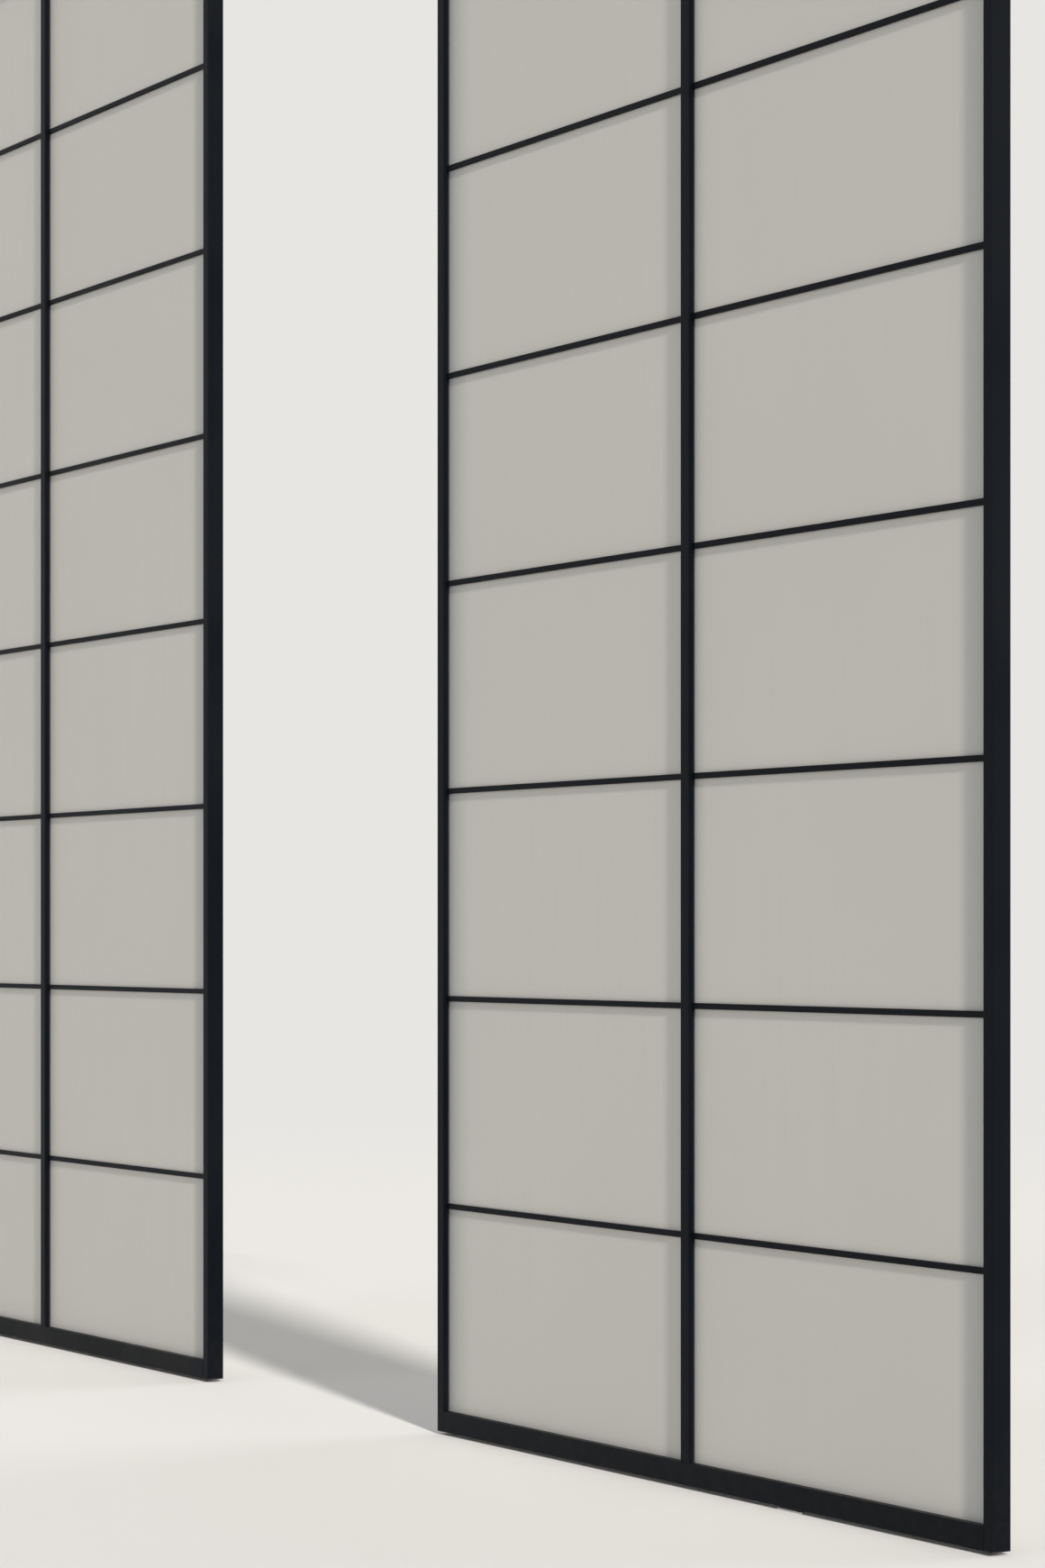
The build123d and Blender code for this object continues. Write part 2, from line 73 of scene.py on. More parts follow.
class Side(Enum):
    """The two panels, each with the sign of its place along the track."""

    LEFT = -1
    RIGHT = 1

    @property
    def body(self) -> str:
        """Name of the panel's CAD body."""
        return f"{self.name.lower()}_panel"

    def node(self, piece: str) -> str:
        """Name of the panel's CAD node for a piece."""
        return f"{self.body}_{piece}"

    def piece(self, label: str) -> str:
        """Name of a new piece of the panel."""
        return f"{self.name.lower()}_{label}"


# Shader node groups

# Noise: its detail and scale, and the band of its values that is drawn out to the full range
GRAIN_DETAIL = 2.0
MOTTLE_DETAIL = 4.0
MOTTLE_BAND = (0.35, 0.65)
BROAD_DETAIL = 2.0
BROAD_SCALE = 1.0
BROAD_BAND = (0.3, 0.7)
FINE_DETAIL = 3.0
FINE_SCALE = 5.0
FINE_BAND = (0.35, 0.65)
SPECK_DETAIL = 4.0
SPECK_SCALE = 45.0
SPECK_BAND = (0.4, 0.65)

# Dust: the least between two specks, how far a face looks up where it gathers, and the share on upright faces
SPECK_LEAST = 0.2
UPWARD_BAND = (0.3, 1.0)
UPRIGHT_SHARE = 0.35

# Painted shade along a pane's margins: how far it reaches in metres and its strength, beside the mullion and
# beside the stile, and how far about a column's middle the one becomes the other
MULLION_SHADE_WIDTH = 0.040
MULLION_SHADE_STRENGTH = 0.20
STILE_SHADE_WIDTH = 0.085
STILE_SHADE_STRENGTH = 0.95
SHADE_CHANGE = 0.1


class Sheet:
    """A node tree with short calls that add and join its nodes."""

    def __init__(self, tree: bpy.types.NodeTree) -> None:
        """Keep the tree that the calls work on."""
        self.tree = tree

    def add(self, kind: str, **settings: object) -> bpy.types.Node:
        """Add a node.

        Args:
            kind: Blender's name for the node, without its ShaderNode prefix where it has one.
            settings: attributes to set on it.

        Returns:
            The new node.
        """
        node = self.tree.nodes.new(kind if kind.startswith("Node") else f"ShaderNode{kind}")
        for name, value in settings.items():
            setattr(node, name, value)
        return node

    def join(self, source: bpy.types.NodeSocket, target: bpy.types.NodeSocket) -> None:
        """Link an output to an input."""
        self.tree.links.new(source, target)

    def noise(self, vector: bpy.types.NodeSocket, detail: float) -> bpy.types.Node:
        """Add a noise texture.

        Args:
            vector: output that gives the place it is read at.
            detail: how many finer layers it has.

        Returns:
            The texture's node.
        """
        node = self.add("TexNoise")
        node.inputs["Detail"].default_value = detail
        self.join(vector, node.inputs["Vector"])
        return node

    def ramp(self, value: bpy.types.NodeSocket, low: float, high: float, start: float, end: float
             ) -> bpy.types.NodeSocket:
        """Map a value from one range to another, smoothly and held at the ends.

        Args:
            value: output to map.
            low: value that gives start.
            high: value that gives end.
            start: result at low.
            end: result at high.

        Returns:
            The mapped output.
        """
        node = self.add("MapRange", interpolation_type="SMOOTHSTEP")
        for name, number in (("From Min", low), ("From Max", high), ("To Min", start), ("To Max", end)):
            node.inputs[name].default_value = number
        self.join(value, node.inputs["Value"])
        return node.outputs["Result"]

    def multiply(self, first: bpy.types.NodeSocket, second: bpy.types.NodeSocket) -> bpy.types.NodeSocket:
        """Multiply two outputs.

        Args:
            first: one output.
            second: the other output.

        Returns:
            Their product's output.
        """
        node = self.add("Math", operation="MULTIPLY")
        self.join(first, node.inputs[0])
        self.join(second, node.inputs[1])
        return node.outputs[0]

    def blend(self, mask: bpy.types.NodeSocket, first: Colour | bpy.types.NodeSocket, second: Colour
              ) -> bpy.types.NodeSocket:
        """Mix a colour, or a colour output, with a second colour by a mask.

        Args:
            mask: output from 0 for the first to 1 for the second.
            first: a colour or a colour output.
            second: a colour.

        Returns:
            The mixed colour output.
        """
        node = self.add("Mix", data_type="RGBA")
        shown = [socket for socket in node.inputs if socket.type == "RGBA"]
        self.join(mask, node.inputs["Factor"])
        if isinstance(first, tuple):
            shown[0].default_value = (*first, 1.0)
        else:
            self.join(first, shown[0])
        shown[1].default_value = (*second, 1.0)
        return next(socket for socket in node.outputs if socket.type == "RGBA")


def new_group(name: str, inputs: dict[str, float], outputs: tuple[str, ...]
              ) -> tuple[Sheet, bpy.types.Node, bpy.types.Node]:
    """Start a shader node group of number sockets.

    Args:
        name: the group's name.
        inputs: input names with their usual values.
        outputs: output names.

    Returns:
        The group's sheet, its input node and its output node.
    """
    tree = bpy.data.node_groups.new(name, "ShaderNodeTree")
    for label, value in inputs.items():
        socket = tree.interface.new_socket(label, in_out="INPUT", socket_type="NodeSocketFloat")
        socket.default_value = value
    for label in outputs:
        tree.interface.new_socket(label, in_out="OUTPUT", socket_type="NodeSocketFloat")
    sheet = Sheet(tree)
    return sheet, sheet.add("NodeGroupInput"), sheet.add("NodeGroupOutput")


def fine_grain_group() -> bpy.types.NodeTree:
    """Build the group for a coat's or moulding's fine grain and its slow change of tone.

    Returns:
        A group with the outputs Grain and Mottle.
    """
    scales = {"Grain Scale": 900.0, "Mottle Scale": 3.0}
    sheet, given, made = new_group("fine_grain", scales, ("Grain", "Mottle"))
    place = sheet.add("TexCoord").outputs["Object"]
    grain = sheet.noise(place, GRAIN_DETAIL)
    sheet.join(given.outputs["Grain Scale"], grain.inputs["Scale"])
    mottle = sheet.noise(place, MOTTLE_DETAIL)
    sheet.join(given.outputs["Mottle Scale"], mottle.inputs["Scale"])
    sheet.join(grain.outputs[0], made.inputs["Grain"])
    sheet.join(sheet.ramp(mottle.outputs[0], *MOTTLE_BAND, 0.0, 1.0), made.inputs["Mottle"])
    return sheet.tree


def drawn_lines_group() -> bpy.types.NodeTree:
    """Build the group for long thin lines, as in drawn metal and in paper with its fibres one way.

    Returns:
        A group with the outputs Broad and Fine.
    """
    sizes = {"X Scale": 1.0, "Y Scale": 1.0, "Z Scale": 1.0}
    sheet, given, made = new_group("drawn_lines", sizes, ("Broad", "Fine"))
    stretch = sheet.add("CombineXYZ")
    for name, socket in zip(sizes, stretch.inputs):
        sheet.join(given.outputs[name], socket)
    stretched = sheet.add("VectorMath", operation="MULTIPLY")
    sheet.join(sheet.add("TexCoord").outputs["Object"], stretched.inputs[0])
    sheet.join(stretch.outputs[0], stretched.inputs[1])
    broad = sheet.noise(stretched.outputs[0], BROAD_DETAIL)
    broad.inputs["Scale"].default_value = BROAD_SCALE
    fine = sheet.noise(stretched.outputs[0], FINE_DETAIL)
    fine.inputs["Scale"].default_value = FINE_SCALE
    sheet.join(sheet.ramp(broad.outputs[0], *BROAD_BAND, 0.0, 1.0), made.inputs["Broad"])
    sheet.join(sheet.ramp(fine.outputs[0], *FINE_BAND, 0.0, 1.0), made.inputs["Fine"])
    return sheet.tree


def settled_dust_group() -> bpy.types.NodeTree:
    """Build the group for the dust that gathers near the floor and on upward faces.

    Returns:
        A group with the output Dust.
    """
    sheet, given, made = new_group("settled_dust", {"Reach": 0.2, "Amount": 0.3}, ("Dust",))
    place = sheet.add("TexCoord").outputs["Object"]
    parts = sheet.add("SeparateXYZ")
    sheet.join(place, parts.inputs[0])
    share = sheet.add("Math", operation="DIVIDE")
    sheet.join(parts.outputs["Z"], share.inputs[0])
    sheet.join(given.outputs["Reach"], share.inputs[1])
    low = sheet.ramp(share.outputs[0], 0.0, 1.0, 1.0, 0.0)
    specks = sheet.noise(place, SPECK_DETAIL)
    specks.inputs["Scale"].default_value = SPECK_SCALE
    facing = sheet.add("SeparateXYZ")
    sheet.join(sheet.add("NewGeometry").outputs["Normal"], facing.inputs[0])
    upward = sheet.ramp(facing.outputs["Z"], *UPWARD_BAND, UPRIGHT_SHARE, 1.0)
    speckle = sheet.ramp(specks.outputs[0], *SPECK_BAND, SPECK_LEAST, 1.0)
    dust = sheet.multiply(sheet.multiply(low, upward), speckle)
    sheet.join(sheet.multiply(dust, given.outputs["Amount"]), made.inputs["Dust"])
    return sheet.tree


def pane_edges_group() -> bpy.types.NodeTree:
    """Build the group for the painted shade along a pane's margins, darker as if they got less light, most of
    all beside the stiles.

    Returns:
        A group with the output Painted Shade, the painted shade's mask, 1 at the frame and 0 inside the pane.
    """
    sizes = {"Column Centre": COLUMN_CENTRE, "Panel Centre": PANEL_CENTRE, "Half Column": OPENING_WIDTH / 2}
    sheet, given, made = new_group("pane_painted_shade", sizes, ("Edge",))
    parts = sheet.add("SeparateXYZ")
    sheet.join(sheet.add("TexCoord").outputs["Object"], parts.inputs[0])
    reach = parts.outputs["X"]
    for centre in ("Panel Centre", "Column Centre"):
        size = sheet.add("Math", operation="ABSOLUTE")
        sheet.join(reach, size.inputs[0])
        offset = sheet.add("Math", operation="SUBTRACT")
        sheet.join(size.outputs[0], offset.inputs[0])
        sheet.join(given.outputs[centre], offset.inputs[1])
        reach = offset.outputs[0]
    away = sheet.add("Math", operation="ABSOLUTE")
    sheet.join(reach, away.inputs[0])
    inside = sheet.add("Math", operation="SUBTRACT")
    sheet.join(given.outputs["Half Column"], inside.inputs[0])
    sheet.join(away.outputs[0], inside.inputs[1])
    share = sheet.add("Math", operation="DIVIDE")
    sheet.join(inside.outputs[0], share.inputs[0])
    width = sheet.ramp(reach, -SHADE_CHANGE, SHADE_CHANGE, MULLION_SHADE_WIDTH, STILE_SHADE_WIDTH)
    sheet.join(width, share.inputs[1])
    strength = sheet.ramp(reach, -SHADE_CHANGE, SHADE_CHANGE, MULLION_SHADE_STRENGTH, STILE_SHADE_STRENGTH)
    # The painted shade fades from the frame into the pane
    fading = sheet.ramp(share.outputs[0], 0.0, 1.0, 1.0, 0.0)
    sheet.join(sheet.multiply(fading, strength), made.inputs["Edge"])
    return sheet.tree


# Finishes

@dataclass(frozen=True)
class Groups:
    """The node groups that several finishes share."""

    grain: bpy.types.NodeTree
    lines: bpy.types.NodeTree
    dust: bpy.types.NodeTree
    # The painted shade along the panes' margins beside the frame
    edges: bpy.types.NodeTree

    def place(self, sheet: Sheet, tree: bpy.types.NodeTree, **values: float) -> bpy.types.Node:
        """Place a group in a material.

        Args:
            sheet: the material's sheet.
            tree: one of the groups.
            values: its inputs, with underscores for spaces.

        Returns:
            The group's node.
        """
        node = sheet.add("Group", node_tree=tree)
        for name, value in values.items():
            node.inputs[name.replace("_", " ")].default_value = value
        return node


@dataclass(frozen=True)
class Finish:
    """A surface with two close tones, a roughness range and a fine bump."""

    name: str
    tone: Colour
    second_tone: Colour
    roughness: tuple[float, float]
    grain_scale: float
    mottle_scale: float
    bump_depth: float
    metallic: float = 0.0
    specular: float = 0.5
    lines: tuple[float, float, float] | None = None
    dust_amount: float = 0.0
    dust_reach: float = 0.25
    dust_tone: Colour = (0.16, 0.14, 0.12)
    transmission: float = 0.0
    # The colour of the painted shade along a pane's margins beside the frame, or None for none
    edge_tone: Colour | None = None

    def build(self, groups: Groups) -> bpy.types.Material:
        """Make the material.

        Args:
            groups: the shared node groups.

        Returns:
            The material.
        """
        material = bpy.data.materials.new(self.name)
        material.use_nodes = True
        sheet = Sheet(material.node_tree)
        shader = material.node_tree.nodes["Principled BSDF"]
        grain = groups.place(
            sheet, groups.grain, Grain_Scale=self.grain_scale, Mottle_Scale=self.mottle_scale,
        )
        mask = grain.outputs["Mottle"]
        height = grain.outputs["Grain"]
        colour = sheet.blend(mask, self.tone, self.second_tone)
        if self.lines:
            scales = dict(zip(("X_Scale", "Y_Scale", "Z_Scale"), self.lines))
            lines = groups.place(sheet, groups.lines, **scales)
            mask = sheet.multiply(lines.outputs["Broad"], lines.outputs["Fine"])
            height = lines.outputs["Fine"]
            colour = sheet.blend(mask, colour, self.second_tone)
        # Painted shade: the pane's colour darkened towards the mullion and, most of all, towards the stiles
        if self.edge_tone:
            colour = sheet.blend(groups.place(sheet, groups.edges).outputs["Edge"], colour, self.edge_tone)
        if self.dust_amount:
            dust = groups.place(sheet, groups.dust, Reach=self.dust_reach, Amount=self.dust_amount)
            colour = sheet.blend(dust.outputs["Dust"], colour, self.dust_tone)
        sheet.join(colour, shader.inputs["Base Color"])
        sheet.join(sheet.ramp(mask, 0.0, 1.0, *self.roughness), shader.inputs["Roughness"])
        bump = sheet.add("Bump")
        bump.inputs["Strength"].default_value = 1.0
        bump.inputs["Distance"].default_value = self.bump_depth
        sheet.join(height, bump.inputs["Height"])
        sheet.join(bump.outputs["Normal"], shader.inputs["Normal"])
        shader.inputs["Metallic"].default_value = self.metallic
        shader.inputs["Specular IOR Level"].default_value = self.specular
        shader.inputs["Transmission Weight"].default_value = self.transmission
        return material


FINISHES = {
    Slot.FRAME_BLACK: Finish(
        "satin_black_coat", (0.0024, 0.0037, 0.0060), (0.0039, 0.0052, 0.0077), roughness=(0.38, 0.48),
        grain_scale=1400.0, mottle_scale=2.4, bump_depth=0.00003, specular=0.06, dust_amount=0.05,
    ),
    # The paper laid glass gets a bluish grey painted shade along its margins beside the frame
    Slot.PAPER_GLASS: Finish(
        "paper_laid_glass", (0.538, 0.526, 0.497), (0.527, 0.515, 0.487), roughness=(0.36, 0.40),
        grain_scale=300.0, mottle_scale=1.6, bump_depth=0.00001, specular=0.35, lines=(34.0, 34.0, 1.1),
        transmission=0.06, edge_tone=(0.400, 0.412, 0.408),
    ),
    Slot.GASKET_RUBBER: Finish(
        "matt_gasket_rubber", (0.012, 0.012, 0.012), (0.024, 0.023, 0.022), roughness=(0.62, 0.78),
        grain_scale=1800.0, mottle_scale=14.0, bump_depth=0.00004, specular=0.3,
    ),
    Slot.BLACK_PLASTIC: Finish(
        "moulded_black_plastic", (0.006, 0.006, 0.007), (0.010, 0.010, 0.011), roughness=(0.46, 0.58),
        grain_scale=2600.0, mottle_scale=20.0, bump_depth=0.00003, specular=0.20, dust_amount=0.08,
    ),
    Slot.BARE_ALUMINIUM: Finish(
        "drawn_aluminium", (0.60, 0.61, 0.62), (0.48, 0.49, 0.50), roughness=(0.28, 0.42),
        grain_scale=500.0, mottle_scale=9.0, bump_depth=0.00002, metallic=1.0, lines=(6.0, 900.0, 900.0),
    ),
    Slot.STEEL: Finish(
        "zinc_plated_steel", (0.50, 0.50, 0.49), (0.40, 0.40, 0.40), roughness=(0.26, 0.40),
        grain_scale=700.0, mottle_scale=60.0, bump_depth=0.00001, metallic=1.0, dust_amount=0.10,
        dust_reach=0.02,
    ),
    Slot.WHITE_NYLON: Finish(
        "moulded_white_nylon", (0.62, 0.61, 0.56), (0.56, 0.55, 0.50), roughness=(0.40, 0.52),
        grain_scale=1600.0, mottle_scale=40.0, bump_depth=0.00003, specular=0.45, dust_amount=0.25,
        dust_reach=0.03,
    ),
}


class Paint:
    """The finished materials, one for each slot of the record."""

    def __init__(self) -> None:
        """Build the shared groups and every material."""
        groups = Groups(fine_grain_group(), drawn_lines_group(), settled_dust_group(), pane_edges_group())
        self.materials = {slot: finish.build(groups) for slot, finish in FINISHES.items()}

    def coat(self, piece: bpy.types.Object, slot: Slot) -> None:
        """Give a piece the material of a slot, in place of what it has.

        Args:
            piece: a new piece or a CAD node's object.
            slot: the slot.
        """
        if not piece.data.materials:
            piece.data.materials.append(None)
        for place in piece.material_slots:
            place.material = self.materials[slot]


# Modelling by hand

SEED_SIZE = 0.001
SMOOTH_ANGLE = math.radians(35)

# The turn that brings two flats of a hexagonal blank square to Y
HEXAGON_TURN = math.radians(30)

# Shares of a hexagonal blank's size: where its turned ends begin, and the outline clear of its corners
TURNED_END = 0.97
CLEAR_CORNER = 1.02

# Shares of a thread's pitch: its depth, and how far below a turn's top the two edges of its crest lie
THREAD_DEPTH = 0.6
CREST_FOOT = 0.56
CREST_TOP = 0.44


def start_clean() -> None:
    """Deselect every object, so that an operator acts only on what is picked next."""
    bpy.ops.object.select_all(action="DESELECT")


def take_in_hand(piece: bpy.types.Object) -> None:
    """Select one piece alone and make it active.

    Args:
        piece: the piece.
    """
    start_clean()
    piece.select_set(True)
    bpy.context.view_layer.objects.active = piece


def draw_line(points: list[Point]) -> bpy.types.Object:
    """Draw an open line by extruding one corner from point to point.

    Args:
        points: the line's points.

    Returns:
        An object in edit mode with its last point selected.
    """
    start_clean()
    bpy.ops.mesh.primitive_plane_add(size=SEED_SIZE, location=points[0])
    piece = bpy.context.object
    bpy.ops.object.transform_apply(location=True, rotation=True, scale=True)
    bpy.ops.object.mode_set(mode="EDIT")
    bpy.ops.mesh.select_all(action="SELECT")
    bpy.ops.mesh.merge(type="CENTER")
    for near, far in zip(points, points[1:]):
        step = Vector(far) - Vector(near)
        bpy.ops.mesh.extrude_vertices_move(TRANSFORM_OT_translate={"value": step})
    return piece


def turn_on_lathe(outline: list[tuple[float, float]], closed: bool = False, steps: int = 32
                  ) -> bpy.types.Object:
    """Turn an outline about the Z axis.

    Args:
        outline: (radius, height) points. An open outline starts and ends on the axis.
        closed: join the last point to the first, for a ring.
        steps: segments in a full turn.

    Returns:
        The turned piece, in object mode.
    """
    points = [(radius, 0.0, height) for radius, height in outline]
    if closed:
        points.append(points[0])
    piece = draw_line(points)
    bpy.ops.mesh.select_all(action="SELECT")
    bpy.ops.mesh.remove_doubles(threshold=MERGE_DISTANCE)
    bpy.ops.mesh.select_all(action="SELECT")
    bpy.ops.mesh.spin(steps=steps, angle=FULL_TURN, center=(0, 0, 0), axis=(0, 0, 1))
    close_up(piece)
    return piece


def close_up(piece: bpy.types.Object) -> None:
    """Merge what meets, point the faces outwards and shade the piece, back in object mode.

    Args:
        piece: the piece, in edit mode.
    """
    bpy.ops.mesh.select_all(action="SELECT")
    bpy.ops.mesh.remove_doubles(threshold=MERGE_DISTANCE)
    bpy.ops.mesh.select_all(action="SELECT")
    bpy.ops.mesh.normals_make_consistent(inside=False)
    bpy.ops.object.mode_set(mode="OBJECT")
    take_in_hand(piece)
    bpy.ops.object.shade_smooth_by_angle(angle=SMOOTH_ANGLE)


def apply_modifier(piece: bpy.types.Object, kind: str, **settings: object) -> None:
    """Add a modifier, set it and apply it.

    Args:
        piece: the piece that it works on.
        kind: Blender's name for the modifier's type.
        settings: attributes to set on it.
    """
    take_in_hand(piece)
    modifier = piece.modifiers.new(kind.lower(), kind)
    for name, value in settings.items():
        setattr(modifier, name, value)
    bpy.ops.object.modifier_apply(modifier=modifier.name)


def combine(piece: bpy.types.Object, tool: bpy.types.Object, operation: str) -> None:
    """Cut, join or intersect a piece with a tool, which is used up."""
    apply_modifier(piece, "BOOLEAN", object=tool, operation=operation, solver="EXACT")
    bpy.data.objects.remove(tool)


def join_pieces(pieces: list[bpy.types.Object]) -> bpy.types.Object:
    """Join several pieces to one.

    Args:
        pieces: the pieces, of which the first takes in the others.

    Returns:
        The joined piece.
    """
    start_clean()
    for piece in pieces:
        piece.select_set(True)
    bpy.context.view_layer.objects.active = pieces[0]
    bpy.ops.object.join()
    return pieces[0]


def place_copies(master: bpy.types.Object, places: list[Vector], turn: Point = (0.0, 0.0, 0.0)
                 ) -> bpy.types.Object:
    """Copy a master to several places and join the copies to one piece whose place is in its mesh.

    Args:
        master: a piece at the origin, which is used up.
        places: where its copies go.
        turn: rotation of each copy, in radians.

    Returns:
        The joined piece at the origin.
    """
    copies = []
    for place in places:
        copy = master.copy()
        copy.data = master.data.copy()
        bpy.context.scene.collection.objects.link(copy)
        copy.location = place
        copy.rotation_euler = turn
        copies.append(copy)
    bpy.data.objects.remove(master)
    joined = join_pieces(copies)
    settle(joined)
    return joined


def settle(piece: bpy.types.Object) -> None:
    """Move a piece's place, turn and scale into its mesh."""
    take_in_hand(piece)
    bpy.ops.object.transform_apply(location=True, rotation=True, scale=True)


def hexagonal_blank(across_flats: float, low: float, high: float, chamfer: float) -> bpy.types.Object:
    """Make a hexagonal blank whose corners are turned off at a slant at both ends.

    Args:
        across_flats: its width over two flats.
        low: height of its foot.
        high: height of its top.
        chamfer: how far the turned corners reach down from each end.

    Returns:
        The blank, in object mode.
    """
    start_clean()
    corner = across_flats / math.sqrt(3)
    bpy.ops.mesh.primitive_cylinder_add(
        vertices=6, radius=corner, depth=high - low, location=(0, 0, (low + high) / 2),
        rotation=(0, 0, HEXAGON_TURN),
    )
    blank = bpy.context.object
    settle(blank)
    face = across_flats / 2 * TURNED_END
    clear = corner * CLEAR_CORNER
    outline = [
        (0, low), (face, low), (clear, low + chamfer), (clear, high - chamfer), (face, high), (0, high),
    ]
    combine(blank, turn_on_lathe(outline, steps=48), "INTERSECT")
    return blank


def threaded_rod(radius: float, pitch: float, low: float, high: float, steps: int = 20) -> bpy.types.Object:
    """Make a threaded rod with flat ends.

    Args:
        radius: over the crests.
        pitch: from crest to crest.
        low: height of its foot.
        high: height of its top.
        steps: segments in one turn of the thread.

    Returns:
        The rod, in object mode.
    """
    root = radius - THREAD_DEPTH * pitch
    turns = math.ceil((high - low) / pitch) + 2
    rod = draw_line([(root, 0, low - pitch), (radius, 0, low - CREST_FOOT * pitch),
                     (radius, 0, low - CREST_TOP * pitch), (root, 0, low)])
    bpy.ops.object.mode_set(mode="OBJECT")
    apply_modifier(
        rod, "SCREW", axis="Z", screw_offset=pitch, iterations=turns, steps=steps, render_steps=steps,
        angle=FULL_TURN, use_merge_vertices=True, merge_threshold=MERGE_DISTANCE,
    )
    bpy.ops.object.mode_set(mode="EDIT")
    for height, upward in ((low, False), (high, True)):
        bpy.ops.mesh.select_all(action="SELECT")
        bpy.ops.mesh.bisect(plane_co=(0, 0, height), plane_no=(0, 0, 1), use_fill=True,
                            clear_inner=not upward, clear_outer=upward, threshold=MERGE_DISTANCE)
    close_up(rod)
    return rod


def finish_piece(piece: bpy.types.Object, name: str, body: str, slot: Slot, paint: Paint, *nodes: str
                 ) -> None:
    """Name, coat and report a piece, tie it to its body, and hide the CAD nodes that it stands for.

    Args:
        piece: the modelled piece, at the origin.
        name: its name.
        body: CAD body that it moves with.
        slot: its finish.
        paint: the materials.
        nodes: CAD nodes that it replaces.
    """
    piece.name = name
    piece.data.name = name
    paint.coat(piece, slot)
    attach(piece, body)
    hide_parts(*nodes)
    log.info("piece %s: %d faces on %s", name, len(piece.data.polygons), body)


# Sub-assemblies

@dataclass
class Glazing:
    """The gaskets round the panes of one panel."""

    side: Side
    panel_centre: float = PANEL_CENTRE
    floor_gap: float = 0.006
    panel_height: float = 3.2695
    opening_width: float = OPENING_WIDTH
    opening_height: float = 3.1895
    opening_centre: float = COLUMN_CENTRE
    pane_width: float = 0.808
    pane_height: float = 3.2055
    pane_centre: float = 0.410
    gasket_depth: float = 0.0065
    gasket_thickness: float = 0.003
    lip_radius: float = 0.0009
    lip_segments: int = 3
    lip_angle: float = math.radians(60)

    def ring(self, column: int) -> bpy.types.Object:
        """Model one gasket: the opening's outline, extruded out to the pane's edge and given its thickness.

        Args:
            column: -1 for the left pane and 1 for the right one.

        Returns:
            The ring about Y = 0, in object mode.
        """
        middle = Vector((self.side.value * self.panel_centre + column * self.opening_centre, 0,
                         self.floor_gap + self.panel_height / 2))
        start_clean()
        bpy.ops.mesh.primitive_plane_add(size=1, location=middle, rotation=(math.pi / 2, 0, 0))
        ring = bpy.context.object
        ring.scale = (self.opening_width, self.opening_height, 1)
        settle(ring)
        bpy.ops.object.mode_set(mode="EDIT")
        bpy.ops.mesh.select_mode(type="EDGE")
        bpy.ops.mesh.select_all(action="SELECT")
        bpy.ops.mesh.delete(type="ONLY_FACE")
        bpy.ops.mesh.select_all(action="SELECT")
        bpy.ops.mesh.extrude_edges_move(TRANSFORM_OT_translate={"value": (0, 0, 0)})
        growth = (self.pane_width / self.opening_width, 1, self.pane_height / self.opening_height)
        bpy.ops.transform.resize(value=growth, center_override=middle)
        shift = column * (self.pane_centre - self.opening_centre)
        bpy.ops.transform.translate(value=(shift, 0, 0))
        bpy.ops.mesh.select_mode(type="VERT")
        bpy.ops.object.mode_set(mode="OBJECT")
        apply_modifier(ring, "SOLIDIFY", thickness=self.gasket_thickness, offset=0)
        apply_modifier(ring, "BEVEL", width=self.lip_radius, segments=self.lip_segments,
                       limit_method="ANGLE", angle_limit=self.lip_angle)
        bpy.ops.object.mode_set(mode="EDIT")
        close_up(ring)
        return ring

    def build(self, paint: Paint) -> None:
        """Model the gaskets on both faces of both panes.

        Args:
            paint: the materials.
        """
        faces = [Vector((0, face * self.gasket_depth, 0)) for face in (-1, 1)]
        rings = [place_copies(self.ring(column), faces) for column in (-1, 1)]
        finish_piece(join_pieces(rings), self.side.piece("rounded_gaskets"), self.side.body,
                     Slot.GASKET_RUBBER, paint, self.side.node("glazing_gaskets"))


